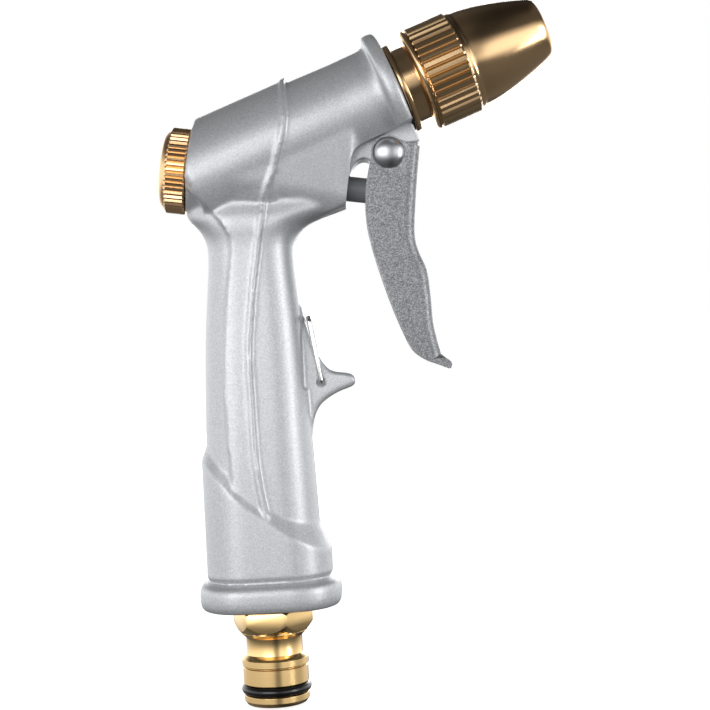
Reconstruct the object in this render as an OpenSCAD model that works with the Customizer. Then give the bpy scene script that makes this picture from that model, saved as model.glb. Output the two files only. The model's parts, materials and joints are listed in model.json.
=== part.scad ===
// Pistol-grip hose spray nozzle: cast body, brass quick-connect inlet, front trigger and twist nozzle.
// Millimetres. The origin is the centre of the inlet's lower end face. +Z runs up the inlet's axis,
// and +X points to the nozzle's side.

/* [Inlet connector] */
// Radius of the plug's sealing land
plug_r = 7.97; // [7.9:0.01:8.0]
// Radius of the waist that the hose coupler's balls lock into
waist_r = 6.88; // [6.6:0.02:7.0]
// Outer radius of the O-ring as it sits in its groove
inlet_ring_r = 8.54; // [8.4:0.02:8.6]
// Width across the flats of the hexagon
hex_af = 17.1; // [16.9:0.1:17.4]
// Height of the hexagon's top above the plug's end
hex_top = 23.0; // [22.5:0.1:23.2]

/* [Grip] */
// Height of the casting's lower face above the plug's end
grip_bottom = 23.5; // [23.5:0.1:23.8]
// Radius of the waterway along the grip
waterway_r = 5.0; // [4.2:0.1:5.2]
// Half width of the web that carries the finger hook
web_half = 3.4; // [3.0:0.1:3.6]

/* [Barrel] */
// Rise of the nozzle's axis above the horizontal, in degrees
nozzle_rise = 20.85; // [20.5:0.05:21.2]
// Radius of the barrel behind the side ridge
barrel_rear_r = 13.4; // [13.0:0.1:13.6]
// Radius of the barrel in front of the side ridge
barrel_front_r = 12.5; // [12.3:0.1:12.8]
// Radius of the ring at the barrel's mouth
ring_r = 15.3; // [14.8:0.1:15.5]
// Half width of the lug that carries the trigger
lug_half = 5.0; // [4.6:0.1:5.1]

/* [Valve] */
// Dip of the valve's axis below the horizontal toward the front, in degrees
valve_dip = 9.0; // [8.8:0.1:9.2]
// Radius of the valve chamber
chamber_r = 6.6; // [6.4:0.1:6.8]
// Radius of the pushrod
rod_r = 3.05; // [2.9:0.01:3.1]
// Radius of the valve stem
stem_r = 1.5; // [1.3:0.1:1.6]
// Mean radius of the valve spring's coils
spring_r = 4.5; // [4.4:0.1:4.7]
// Radius of the valve spring's wire
spring_wire_r = 0.45; // [0.35:0.05:0.5]
// Number of turns in the valve spring
spring_turns = 5; // [4:1:6]

/* [Twist nozzle] */
// Radius over the sleeve's straight knurl
sleeve_r = 12.8; // [12.6:0.1:12.9]
// Number of teeth in the sleeve's knurl
sleeve_teeth = 40; // [36:1:44]
// Radius of the sleeve's orifice
orifice_r = 2.6; // [2.5:0.1:2.8]
// Radial clearance of the running fits
running = 0.06; // [0.04:0.01:0.08]

/* [Rear knob] */
// Radius over the knob's knurl
knob_r = 10.5; // [10.2:0.1:10.8]
// Number of teeth in the knob's knurl
knob_teeth = 52; // [44:1:56]

/* [Trigger and latch] */
// Half width over the trigger's cheeks
trigger_half = 7.5; // [7.4:0.1:7.8]
// Thickness of the trigger's front wall
trigger_wall = 2.2; // [2.0:0.1:2.4]
// Radius of the rivet's shank
rivet_r = 2.0; // [1.8:0.1:2.1]
// Radius of the rivet's domed heads
rivet_head_r = 3.8; // [3.6:0.1:3.9]
// Radius of the latch bail's wire
wire_r = 0.6; // [0.5:0.05:0.65]
// Length of the bail's legs from its pivot to its crossbar
bail_leg = 16.0; // [15.4:0.1:16.4]

/* [Hidden] */
$fn = 96;
eps = 0.01;

// colours
paint = "silver";
dark_paint = "darkgray";
polished_brass = "goldenrod";
pale_brass = "khaki";
rubber = "black";
steel = "gainsboro";
plastic = "dimgray";

// places of the two tilted axes and of the pivots, as [x, z]
valve_at = [-18.5, 131.3];
nozzle_at = [47.5, 152.0];
trigger_at = [34.0, 132.2];
latch_at = [14.9, 77.7];
latch_lean = 8.3;

// stations along the valve's axis, measured forward from valve_at
rear_face = 4.1;
plug_s = 5.6;
plug_front = 10.0;
cup_s = 19.6;
washer_s = 22.0;
seat_s = 24.6;
seat_gasket_s = 27.0;
chamber_front = 27.6;
bush_s = 35.2;
seal_s = 37.2;
gland_front = 38.9;
boss_face = 43.3;
boss_r = 9.6;
rod_tail = 32.0;
rod_tip = 56.5;
pad_gap = 0.2;
chamber_front_r = 5.0;
spindle_r = 2.5;
plug_bore_r = spindle_r + running;

// stations along the nozzle's axis, measured toward the tip from nozzle_at
ring_rear = -14.7;
ring_front = -11.3;
collar_rear = -10.8;
collar_front = -9.3;
sleeve_rear = -5.9;
knurl_rear = -4.4;
knurl_front = 6.1;
sleeve_tip = 27.8;
side_step = -37.6;
stem_rear = -26.5;
stem_front = 12.0;
seal_from = 7.3;
seal_to = 9.5;

// radii that two or more pieces share
inlet_thread_r = 8.2;
inlet_bore_r = 4.4;
stem_thread_r = 8.0;
neck_r = 9.4;
spigot_r = 7.0;
seal_groove_r = 8.6;
pin_r = 1.4;
trigger_eye_r = 4.2;

// heights along the inlet plug
ring_groove = [2.45, 5.1];
waist = [12.2, 16.4];
hex_base = 19.6;

// ---- curves

function spline_point(a, b, c, d, u) =
    0.5 * (2 * b + (c - a) * u + (2 * a - 5 * b + 4 * c - d) * u * u
        + (3 * b - a - 3 * c + d) * u * u * u);

// a smooth curve through every point of a list, with n steps from one point to the next
function smooth(points, n) = concat(
    [for (i = [0 : len(points) - 2], k = [0 : n - 1])
        spline_point(points[max(i - 1, 0)], points[i], points[i + 1],
            points[min(i + 2, len(points) - 1)], k / n)],
    [points[len(points) - 1]]);

// a polygon with teeth, for a knurled edge
module toothed(r, teeth, depth) {
    polygon([for (i = [0 : 2 * teeth - 1])
        let (rr = i % 2 == 0 ? r : r - depth, a = 180 * i / teeth) [rr * cos(a), rr * sin(a)]]);
}

// ---- placement

module on_valve(s = 0) {
    translate([valve_at[0], 0, valve_at[1]]) rotate([0, 90 + valve_dip, 0]) translate([0, 0, s])
        children();
}

module on_nozzle(t = 0) {
    translate([nozzle_at[0], 0, nozzle_at[1]]) rotate([0, 90 - nozzle_rise, 0])
        translate([0, 0, t]) children();
}

// a point in the middle plane, as [x, z], on either axis
function valve_point(s) = valve_at + s * [cos(valve_dip), -sin(valve_dip)];
function nozzle_point(t) = nozzle_at + t * [cos(nozzle_rise), sin(nozzle_rise)];

// an outline of [x, z] points made solid over y from -half to +half
module slab(outline, half) {
    rotate([90, 0, 0]) linear_extrude(2 * half, center = true) polygon(outline);
}

module pin_y(x, z, r, half) {
    translate([x, 0, z]) rotate([90, 0, 0]) cylinder(r = r, h = 2 * half, center = true);
}

// a ring with a square section along the local z axis
module ring(outer, inner, h) {
    difference() {
        cylinder(r = outer, h = h);
        translate([0, 0, -1]) cylinder(r = inner, h = h + 2);
    }
}

module o_ring(outer, section_r) {
    rotate_extrude() translate([outer - section_r, 0]) circle(r = section_r, $fn = 32);
}

// ---- the casting

// grip stations: height, rear edge, front edge, half depth
grip_stations = smooth([
    [grip_bottom, -15.9, 15.8, 12.2],
    [25.0, -17.1, 17.0, 13.3],
    [28.0, -17.3, 17.2, 13.5],
    [30.4, -16.6, 16.5, 12.9],
    [31.6, -15.4, 15.3, 12.3],
    [38.0, -15.2, 15.2, 12.2],
    [44.0, -14.95, 12.8, 12.0],
    [64.0, -14.0, 12.0, 11.6],
    [88.0, -12.95, 11.3, 10.9],
    [107.0, -11.25, 9.9, 10.3],
    [113.0, -11.4, 10.5, 10.5],
    [116.0, -12.9, 13.1, 11.0],
    [118.0, -15.0, 17.8, 11.2],
    [120.0, -16.0, 22.9, 11.0],
    [122.0, -15.9, 23.3, 10.6]], 2);
grip_sides = 36;
grip_roundness = 2.3;

function rounded(v) = sign(v) * pow(abs(v), 2 / grip_roundness);

function grip_ring(st) = [for (i = [0 : grip_sides - 1])
    let (a = 360 * i / grip_sides)
    [(st[1] + st[2]) / 2 + (st[2] - st[1]) / 2 * rounded(cos(a)), st[3] * rounded(sin(a)), st[0]]];

module grip() {
    rings = len(grip_stations);
    last = (rings - 1) * grip_sides;
    polyhedron(
        points = [for (st = grip_stations) each grip_ring(st)],
        faces = concat(
            [[for (i = [0 : grip_sides - 1]) i]],
            [for (k = [0 : rings - 2], i = [0 : grip_sides - 1])
                let (a = k * grip_sides + i, b = k * grip_sides + (i + 1) % grip_sides)
                [b, a, a + grip_sides, b + grip_sides]],
            [[for (i = [grip_sides - 1 : -1 : 0]) last + i]]));
}

// the flat flanks that run from the barrel's sides down to the boss's
module flanks() {
    corners = [[nozzle_point(-60), barrel_front_r - 0.1], [nozzle_point(-24.5), barrel_front_r - 0.5],
        [valve_point(boss_face), boss_r - 0.5]];
    polyhedron(
        points = [for (side = [1, -1], c = corners) [c[0][0], side * c[1], c[0][1]]],
        faces = [[2, 1, 0], [3, 4, 5], [0, 1, 4, 3], [1, 2, 5, 4], [2, 0, 3, 5]]);
}

module head() {
    intersection() {
        union() {
            on_nozzle(-66) cylinder(r = barrel_rear_r, h = 66 + side_step);
            on_nozzle(side_step - 1) cylinder(r = barrel_front_r, h = ring_rear - side_step + 1.5);
            on_nozzle(ring_rear) rotate_extrude() polygon([[0, 0], [ring_r - 0.7, 0], [ring_r, 0.7],
                [ring_r, ring_front - ring_rear - 0.5], [ring_r - 0.5, ring_front - ring_rear],
                [0, ring_front - ring_rear]]);
            on_valve(rear_face) cylinder(r = 11.4, h = 22);
            on_valve(22) cylinder(r = boss_r, h = boss_face - 22);
            flanks();
        }
        on_valve(rear_face) cylinder(r = 60, h = 90);
    }
}

// everything below the head's underside, from the grip's front to the boss's lower lip
under_head = concat(
    smooth([[9.6, 106.0], [10.4, 112.5], [12.9, 116.0], [17.0, 118.0], [23.2, 120.2], [24.4, 121.6]], 3),
    [[30, 121.6], [30, 106]]);

// everything in front of the barrel's lower front edge
front_cut = [[50, 143.4], [38.9, 139.2], [33.0, 136.75], [28.0, 134.8], [26.2, 133.6], [25.2, 131.9],
    [24.5, 129.2], [23.2, 121.0], [22.6, 117.2], [50, 117.2]];

lug_outline = concat(
    [[22.0, 131.5], [24.0, 137.0], [39.3, 141.6], [41.9, 135.0], [38.4, 134.6]],
    [for (a = [10 : -20 : -110]) trigger_at + 4.0 * [cos(a), sin(a)]],
    [[29.6, 130.4], [27.8, 131.2], [26.2, 130.6], [24.9, 129.0], [24.2, 127.0], [22.0, 126.6]]);

hook_outline = concat(
    [[8.0, 66.0]],
    smooth([[12.0, 66.0], [13.3, 70.6], [16.6, 73.9], [22.1, 76.2], [23.2, 78.2], [21.9, 79.5],
        [17.8, 80.3], [15.2, 82.9], [12.6, 88.5], [11.4, 94.0]], 3),
    [[8.0, 94.0]]);

module bores() {
    translate([0, 0, grip_bottom - 1]) cylinder(r = inlet_thread_r, h = 11.7);
    cylinder(r = waterway_r, h = 126.5);
    on_valve(rear_face - 1) cylinder(r = chamber_r, h = chamber_front - rear_face + 1);
    on_valve(chamber_front - 1) cylinder(r = chamber_front_r, h = gland_front - chamber_front + 1);
    on_valve(gland_front - 1) cylinder(r = rod_r + 0.2, h = 8);
    on_nozzle(stem_rear) cylinder(r = stem_thread_r, h = 20);
    on_nozzle(-37) cylinder(r = 6.0, h = 12);
    translate([13.4, 0, 127]) cylinder(r = 2.8, h = 11);
}

module body_casting() {
    color(paint) difference() {
        union() {
            difference() {
                union() {
                    grip();
                    head();
                }
                slab(front_cut, 20);
                slab(under_head, 20);
                for (side = [0, 1]) mirror([0, side, 0])
                    translate([10.3, web_half, 76.5]) cube([10, 20, 18]);
            }
            slab(lug_outline, lug_half);
            slab(hook_outline, web_half);
        }
        bores();
        pin_y(trigger_at[0], trigger_at[1], rivet_r, 20);
        pin_y(latch_at[0], latch_at[1], wire_r + running, 20);
    }
}

// ---- inlet

module inlet_connector() {
    color(pale_brass) difference() {
        union() {
            rotate_extrude() polygon([[0, 0], [plug_r - 0.8, 0], [plug_r, 1.0], [plug_r, ring_groove[0]],
                [6.2, ring_groove[0]], [6.2, ring_groove[1]], [8.0, ring_groove[1]], [8.0, 9.1],
                [7.8, 9.3], [8.16, 9.5], [8.16, 11.2], [waist_r, waist[0]], [waist_r, waist[1]],
                [9.7, hex_base], [9.7, hex_base + 0.9], [0, hex_base + 0.9]]);
            intersection() {
                rotate([0, 0, 22]) translate([0, 0, hex_base])
                    cylinder(r = hex_af / 2 / cos(30), h = hex_top - hex_base, $fn = 6);
                translate([0, 0, hex_base]) rotate_extrude() polygon([[0, 0], [8.7, 0], [9.9, 0.9],
                    [9.9, hex_top - hex_base - 0.6], [9.2, hex_top - hex_base], [0, hex_top - hex_base]]);
            }
            translate([0, 0, 20]) cylinder(r = inlet_thread_r, h = 14);
        }
        translate([0, 0, -1]) cylinder(r = inlet_bore_r, h = 36);
        translate([0, 0, -eps]) cylinder(r1 = inlet_bore_r + 0.8, r2 = inlet_bore_r, h = 1);
    }
}

module inlet_o_ring() {
    color(rubber) translate([0, 0, (ring_groove[0] + ring_groove[1]) / 2])
        o_ring(inlet_ring_r, 1.17);
}

module inlet_gasket() {
    color(rubber) translate([0, 0, hex_top]) ring(9.6, inlet_thread_r, grip_bottom - hex_top);
}

// ---- twist nozzle

module barrel_stem() {
    color(polished_brass) on_nozzle() difference() {
        rotate_extrude() polygon([[0, stem_rear], [stem_thread_r, stem_rear],
            [stem_thread_r, collar_rear], [10.9, collar_rear], [11.2, collar_rear + 0.3],
            [11.2, collar_front - 0.3], [10.9, collar_front], [neck_r, collar_front], [neck_r, 0.4],
            [spigot_r, 1.6], [spigot_r, stem_front], [0, stem_front]]);
        translate([0, 0, -28]) cylinder(r = 4.2, h = 37);
        cylinder(r = pin_r, h = 14);
        for (a = [0 : 60 : 300]) rotate([0, 0, a]) translate([3.3, 0, 8]) cylinder(r = 0.8, h = 6);
    }
}

module stem_gasket() {
    color(rubber) on_nozzle(ring_front) ring(10.7, stem_thread_r, collar_rear - ring_front);
}

module diffuser_pin() {
    color(pale_brass) on_nozzle() rotate_extrude() polygon([[0, 8.0], [pin_r, 8.0], [pin_r, stem_front],
        [2.0, stem_front], [2.0, 15.8], [2.4, 16.4], [2.4, 18.0], [0.7, 19.9], [0, 19.9]]);
}

module nozzle_seal() {
    color(rubber) on_nozzle(seal_from + 0.2)
        ring(seal_groove_r - 0.2, spigot_r + running, seal_to - seal_from - 0.4);
}

// the sleeve's bullet-shaped taper
function bullet_r(t) = 11.9 - 4.3 * pow((t - 8.5) / 18, 1.5);

module nozzle_sleeve() {
    tip_curve = [for (t = [8.5 : 2.0 : 26.5]) [bullet_r(t), t]];
    color(polished_brass) on_nozzle() difference() {
        union() {
            rotate_extrude() polygon(concat(
                [[0, sleeve_rear], [11.7, sleeve_rear], [12.7, sleeve_rear + 0.8],
                    [12.7, knurl_rear - 0.3], [12.3, knurl_rear], [12.3, knurl_front],
                    [12.2, knurl_front + 1.2]],
                tip_curve,
                [[6.9, sleeve_tip - 0.5], [6.2, sleeve_tip], [0, sleeve_tip]]));
            translate([0, 0, knurl_rear]) linear_extrude(knurl_front - knurl_rear)
                toothed(sleeve_r, sleeve_teeth, 0.6);
        }
        rotate_extrude() polygon([[0, sleeve_rear - 1], [neck_r + running, sleeve_rear - 1],
            [neck_r + running, 5.2], [spigot_r + running, 5.2], [spigot_r + running, seal_from],
            [seal_groove_r, seal_from], [seal_groove_r, seal_to], [spigot_r + running, seal_to],
            [spigot_r + running, 11.4], [7.6, 11.4], [7.6, 17.5],
            [orifice_r + 1.2, 22.6], [orifice_r, 23.6], [orifice_r, 25.2], [4.2, sleeve_tip + 1],
            [0, sleeve_tip + 1]]);
    }
}

// ---- valve

module valve_seat() {
    color(pale_brass) on_valve(seat_s) ring(chamber_r, 3.4, seat_gasket_s - seat_s);
}

module seat_gasket() {
    color(rubber) on_valve(seat_gasket_s) ring(chamber_r, chamber_front_r, chamber_front - seat_gasket_s);
}

module gland_bush() {
    color(pale_brass) on_valve(bush_s) ring(chamber_front_r, rod_r + running, seal_s - bush_s);
}

module gland_seal() {
    color(rubber) on_valve(seal_s) ring(chamber_front_r, rod_r + running, gland_front - seal_s);
}

module pushrod() {
    color(plastic) difference() {
        union() {
            on_valve(rod_tail) cylinder(r = rod_r, h = rod_tip - 1.2 - rod_tail);
            intersection() {
                on_valve(rod_tip - 5) sphere(r = 5);
                on_valve(rod_tip - 3) cylinder(r = rod_r, h = 3);
            }
        }
        on_valve(rod_tail - 1) cylinder(r = stem_r, h = 4);
    }
}

module valve_stem() {
    color(steel) on_valve(17.2) cylinder(r = stem_r, h = rod_tail + 3 - 17.2);
}

module valve_cup() {
    color(pale_brass) on_valve(cup_s) ring(5.5, stem_r, washer_s - cup_s);
}

module valve_washer() {
    color(rubber) on_valve(washer_s) ring(5.3, stem_r, seat_s - 0.1 - washer_s);
}

module valve_nut() {
    color(steel) on_valve(seat_s - 0.1) ring(2.5, stem_r, 1.8);
}

// the spring's wire, swept along its helix
module valve_spring() {
    ring_sides = 8;
    steps = spring_turns * 16;
    rise = cup_s - plug_front - 2 * spring_wire_r - 0.1;
    points = [for (k = [0 : steps], i = [0 : ring_sides - 1])
        let (a = 360 * spring_turns * k / steps, b = 360 * i / ring_sides,
            r = spring_r + spring_wire_r * cos(b))
        [r * cos(a), r * sin(a), rise * k / steps + spring_wire_r * sin(b)]];
    color(steel) on_valve(plug_front + spring_wire_r + 0.05) polyhedron(
        points = points,
        faces = concat(
            [[for (i = [ring_sides - 1 : -1 : 0]) i]],
            [for (k = [0 : steps - 1], i = [0 : ring_sides - 1])
                let (p = k * ring_sides + i, q = k * ring_sides + (i + 1) % ring_sides)
                [p, q, q + ring_sides, p + ring_sides]],
            [[for (i = [0 : ring_sides - 1]) steps * ring_sides + i]]));
}

// ---- flow-control knob

module rear_plug() {
    color(pale_brass) on_valve() difference() {
        translate([0, 0, plug_s]) cylinder(r = chamber_r, h = plug_front - plug_s);
        translate([0, 0, plug_s - 1]) cylinder(r = plug_bore_r, h = 8);
        translate([0, 0, plug_s - 1]) cylinder(r = 4.15, h = 3.4);
    }
}

module plug_gasket() {
    color(rubber) on_valve(plug_s - 0.8) ring(chamber_r, 5.2, 0.8);
}

module knob_seal() {
    color(rubber) on_valve(6.2) ring(4.0, plug_bore_r, 1.5);
}

module rear_knob() {
    color(polished_brass) on_valve() {
        rotate_extrude() polygon([[0, -3.4], [6.0, -3.3], [8.4, -2.7], [9.9, -1.3], [9.9, 3.9],
            [3.6, 3.9], [3.6, 6.1], [spindle_r, 6.1], [spindle_r, 12.4], [2.0, 12.9], [0, 12.9]]);
        translate([0, 0, -1.2]) linear_extrude(5.0) toothed(knob_r, knob_teeth, 0.4);
    }
}

// ---- trigger and latch

trigger_front = smooth([[41.7, 133.4], [41.0, 128.3], [40.0, 120.0], [39.4, 112.5], [40.2, 108.0],
    [42.0, 103.5], [42.5, 97.0], [42.7, 91.0], [43.6, 86.0]], 3);

trigger_lip = [[44.4, 83.0], [46.5, 81.3], [46.7, 80.2], [46.1, 79.4], [44.0, 80.3]];

trigger_rear = smooth([[41.0, 81.5], [38.2, 83.5], [36.3, 86.9], [32.6, 96.9], [29.2, 109.0],
    [27.9, 117.0], [28.2, 124.5], [29.8, 131.5]], 3);

trigger_top = [for (a = [165 : -15 : 45]) trigger_at + trigger_eye_r * [cos(a), sin(a)]];

module trigger() {
    cavity = concat(
        [[20, 138], [trigger_front[0][0] - trigger_wall, 138]],
        [for (p = trigger_front) if (p[1] > 88) [p[0] - trigger_wall, p[1]]],
        [[39.0, 86.5], [20, 86.5]]);
    color(dark_paint) difference() {
        union() {
            difference() {
                slab(concat(trigger_front, trigger_lip, trigger_rear, trigger_top), trigger_half);
                slab(cavity, lug_half + 0.3);
            }
            on_valve(rod_tip + pad_gap) cylinder(r = 3.4, h = 1.4);
        }
        pin_y(trigger_at[0], trigger_at[1], rivet_r + running, 20);
    }
}

module trigger_rivet() {
    dome_r = 5.2;
    dome_at = trigger_half + 0.1;
    color(steel) {
        pin_y(trigger_at[0], trigger_at[1], rivet_r, dome_at + 0.5);
        for (side = [0, 1]) mirror([0, side, 0]) translate([trigger_at[0], -dome_at, trigger_at[1]])
            rotate([90, 0, 0]) intersection() {
                cylinder(r = rivet_head_r, h = 2);
                translate([0, 0, 1.7 - dome_r]) sphere(r = dome_r);
            }
    }
}

module latch_bail() {
    bend = 1.4;
    leg_y = web_half + 0.3 + wire_r;
    color(steel) translate([latch_at[0], 0, latch_at[1]]) rotate([0, -latch_lean, 0]) {
        for (side = [0, 1]) mirror([0, side, 0]) {
            rotate([90, 0, 0]) translate([0, 0, 1.0]) cylinder(r = wire_r, h = leg_y - 1.0, $fn = 32);
            translate([0, -leg_y, 0]) sphere(r = wire_r, $fn = 32);
            translate([0, -leg_y, 0]) cylinder(r = wire_r, h = bail_leg - bend, $fn = 32);
            translate([0, bend - leg_y, bail_leg - bend]) rotate([0, 90, 0]) rotate([0, 0, 180])
                rotate_extrude(angle = 90) translate([bend, 0]) circle(r = wire_r, $fn = 32);
        }
        translate([0, 0, bail_leg]) rotate([90, 0, 0])
            cylinder(r = wire_r, h = 2 * (leg_y - bend), center = true, $fn = 32);
    }
}

body_casting();
inlet_connector();
inlet_o_ring();
inlet_gasket();
barrel_stem();
stem_gasket();
diffuser_pin();
nozzle_seal();
nozzle_sleeve();
valve_seat();
seat_gasket();
gland_bush();
gland_seal();
pushrod();
valve_stem();
valve_cup();
valve_washer();
valve_nut();
valve_spring();
rear_plug();
plug_gasket();
knob_seal();
rear_knob();
trigger();
trigger_rivet();
latch_bail();
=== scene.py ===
# %% [markdown]
# # A pistol-grip hose nozzle
# This lesson dresses a finished CAD frame with the surfaces that the eye sees: a cast and
# painted grip, turned and knurled brass, a bent wire and a little rubber. Every length is in
# metres, and each piece is built where the frame says that it belongs.

# %% Load the frame
import json
from math import atan2, cos, degrees, hypot, pi, radians, sin, tau

import bmesh
import bpy
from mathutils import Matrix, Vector


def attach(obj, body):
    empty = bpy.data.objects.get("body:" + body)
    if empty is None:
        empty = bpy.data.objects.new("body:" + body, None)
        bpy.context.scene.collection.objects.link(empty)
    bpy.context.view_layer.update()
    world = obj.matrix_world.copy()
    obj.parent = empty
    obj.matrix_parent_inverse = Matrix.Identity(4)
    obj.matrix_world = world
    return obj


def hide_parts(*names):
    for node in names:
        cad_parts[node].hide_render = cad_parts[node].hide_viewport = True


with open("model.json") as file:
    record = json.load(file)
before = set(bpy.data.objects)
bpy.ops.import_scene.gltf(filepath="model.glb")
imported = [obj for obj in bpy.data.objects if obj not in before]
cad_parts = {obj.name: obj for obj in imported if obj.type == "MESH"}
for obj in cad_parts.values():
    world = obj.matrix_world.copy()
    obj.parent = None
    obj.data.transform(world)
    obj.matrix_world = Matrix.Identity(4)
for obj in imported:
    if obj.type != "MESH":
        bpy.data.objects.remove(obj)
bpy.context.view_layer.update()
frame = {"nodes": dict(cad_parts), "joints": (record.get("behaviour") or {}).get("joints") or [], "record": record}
joints = {joint["name"]: joint for joint in frame["joints"]}
MM = 0.001
print("nodes in the frame:", len(frame["nodes"]))

# %% [markdown]
# ## The axes that the pieces are built on
# The nozzle and the valve lie on two tilted lines, and the trigger and the latch turn on pins.
# The frame's joints already say where they are, so nothing is measured twice.

# %% Axes and pivots
nozzle_at = Vector(joints["nozzle_twist"]["pos_m"]) / MM
nozzle_way = Vector(joints["nozzle_twist"]["axis"])
valve_at = Vector(joints["knob_twist"]["pos_m"]) / MM
valve_way = -Vector(joints["knob_twist"]["axis"])
pivot = Vector(joints["trigger_squeeze"]["pos_m"]) / MM
latch_pin = Vector(joints["latch_swing"]["pos_m"]) / MM
nozzle_tilt = atan2(nozzle_way.x, nozzle_way.z)
valve_tilt = atan2(valve_way.x, valve_way.z)
print("nozzle rises", round(90 - degrees(nozzle_tilt), 2), "valve dips", round(degrees(valve_tilt) - 90, 2))

# %% [markdown]
# ## Small tools
# Operators act on whatever is selected, so each piece starts with nothing selected. `pick`
# selects by place, the way a person would box-select, and `place` turns and moves a finished
# piece from the origin, where it is easy to draw, to its line in the frame.


# %% Starting, picking and finishing
def fresh():
    """Leave edit mode with nothing selected."""
    if bpy.context.mode != "OBJECT":
        bpy.ops.object.mode_set(mode="OBJECT")
    bpy.ops.object.select_all(action="DESELECT")


def only(piece):
    """Select one object and make it the active one."""
    fresh()
    piece.select_set(True)
    bpy.context.view_layer.objects.active = piece


def edit(piece=None):
    """Go into edit mode, where points are picked until something else is asked for."""
    if piece:
        only(piece)
    bpy.ops.object.mode_set(mode="EDIT")
    bpy.ops.mesh.select_mode(type="VERT")


def pick(test, kind="FACE"):
    """Select the vertices, edges or faces of the edited mesh that pass a test, and count them."""
    bpy.ops.mesh.select_mode(type=kind)
    bpy.ops.mesh.select_all(action="DESELECT")
    mesh = bmesh.from_edit_mesh(bpy.context.object.data)
    found = [item for item in {"VERT": mesh.verts, "EDGE": mesh.edges, "FACE": mesh.faces}[kind] if test(item)]
    for item in found:
        item.select_set(True)
    mesh.select_flush_mode()
    bmesh.update_edit_mesh(bpy.context.object.data)
    return len(found)


def place(piece, at=(0, 0, 0), tilt=0):
    """Turn a piece drawn on the z axis by tilt about y, and move it to its point, in millimetres."""
    only(piece)
    piece.rotation_euler.y = tilt
    piece.location = Vector(at) * MM
    bpy.ops.object.transform_apply(location=True, rotation=True, scale=True)
    return piece


def tidy(piece, angle=30):
    """Close doubled points, point the faces outward and shade what is round."""
    edit(piece)
    bpy.ops.mesh.select_all(action="SELECT")
    bpy.ops.mesh.remove_doubles(threshold=0.002 * MM)
    bpy.ops.mesh.normals_make_consistent(inside=False)
    fresh()
    only(piece)
    bpy.ops.object.shade_smooth_by_angle(angle=radians(angle))
    return piece


def use(piece, modifier_type, **settings):
    """Add a modifier, set it and apply it."""
    only(piece)
    modifier = piece.modifiers.new(modifier_type.title(), modifier_type)
    for key, value in settings.items():
        setattr(modifier, key, value)
    bpy.ops.object.modifier_apply(modifier=modifier.name)
    return piece


def boolean(piece, other, operation="DIFFERENCE", keep=False):
    """Cut, join or intersect with another solid, which is thrown away unless it is kept."""
    use(piece, "BOOLEAN", object=other, operation=operation, solver="MANIFOLD")
    if not keep:
        bpy.data.objects.remove(other)
    return piece


def copy_of(piece, name):
    twin = piece.copy()
    twin.data = piece.data.copy()
    twin.name = name
    bpy.context.scene.collection.objects.link(twin)
    return twin


def join(pieces, name):
    fresh()
    for piece in pieces:
        piece.select_set(True)
    bpy.context.view_layer.objects.active = pieces[0]
    bpy.ops.object.join()
    pieces[0].name = name
    return pieces[0]


# %% [markdown]
# ## Three ways to start a shape
# A lathe piece is a ring pulled along its profile, as metal is turned. A cast piece starts as a
# rounded plate and is extruded from station to station. A flat piece follows its outline point
# by point and is then given its thickness.


# %% Lathe, loft and plate
def lathe(name, profile, sides=96):
    """A ring of radius r at height z, pulled through every (r, z) in millimetres."""
    fresh()
    (r, z), rest = profile[0], profile[1:]
    bpy.ops.mesh.primitive_circle_add(vertices=sides, radius=r * MM, fill_type="NOTHING")
    piece = bpy.context.object
    piece.name = name
    edit()
    bpy.ops.mesh.select_all(action="SELECT")
    bpy.ops.transform.translate(value=(0, 0, z * MM))
    for r_next, z_next in rest:
        bpy.ops.mesh.extrude_region_move(TRANSFORM_OT_translate={"value": (0, 0, (z_next - z) * MM)})
        bpy.ops.transform.resize(value=(r_next / r, r_next / r, 1), center_override=(0, 0, z_next * MM))
        r, z = r_next, z_next
    if profile[0] != profile[-1]:
        for height in (profile[0], profile[-1]):
            pick(lambda v: abs(v.co.z - height[1] * MM) < 1e-7
                 and abs(hypot(v.co.x, v.co.y) - height[0] * MM) < 1e-7, "VERT")
            bpy.ops.mesh.edge_face_add()
    return tidy(piece)


def rounded_plate(width, depth, corner, z):
    """A flat plate with round corners, the first station of a loft."""
    fresh()
    bpy.ops.mesh.primitive_plane_add(size=1)
    piece = bpy.context.object
    edit()
    bpy.ops.mesh.select_all(action="SELECT")
    bpy.ops.transform.resize(value=(width * MM, depth * MM, 1))
    bpy.ops.transform.translate(value=(0, 0, z * MM))
    bpy.ops.mesh.bevel(offset=corner * MM, segments=10, affect="VERTICES")
    return piece


def loft(name, stations, corner=0.42):
    """Stations are (height, rear edge, front edge, half depth) in millimetres."""
    z, rear, front, half = stations[0]
    piece = rounded_plate(front - rear, 2 * half, corner * min(front - rear, 2 * half), z)
    piece.name = name
    bpy.ops.transform.translate(value=((front + rear) / 2 * MM, 0, 0))
    for z2, rear2, front2, half2 in stations[1:]:
        shift = ((front2 + rear2 - front - rear) / 2 * MM, 0, (z2 - z) * MM)
        bpy.ops.mesh.select_mode(type="FACE")
        bpy.ops.mesh.extrude_region_move(TRANSFORM_OT_translate={"value": shift})
        bpy.ops.transform.resize(
            value=((front2 - rear2) / (front - rear), half2 / half, 1),
            center_override=((front2 + rear2) / 2 * MM, 0, z2 * MM))
        z, rear, front, half = z2, rear2, front2, half2
    return tidy(piece)


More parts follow.
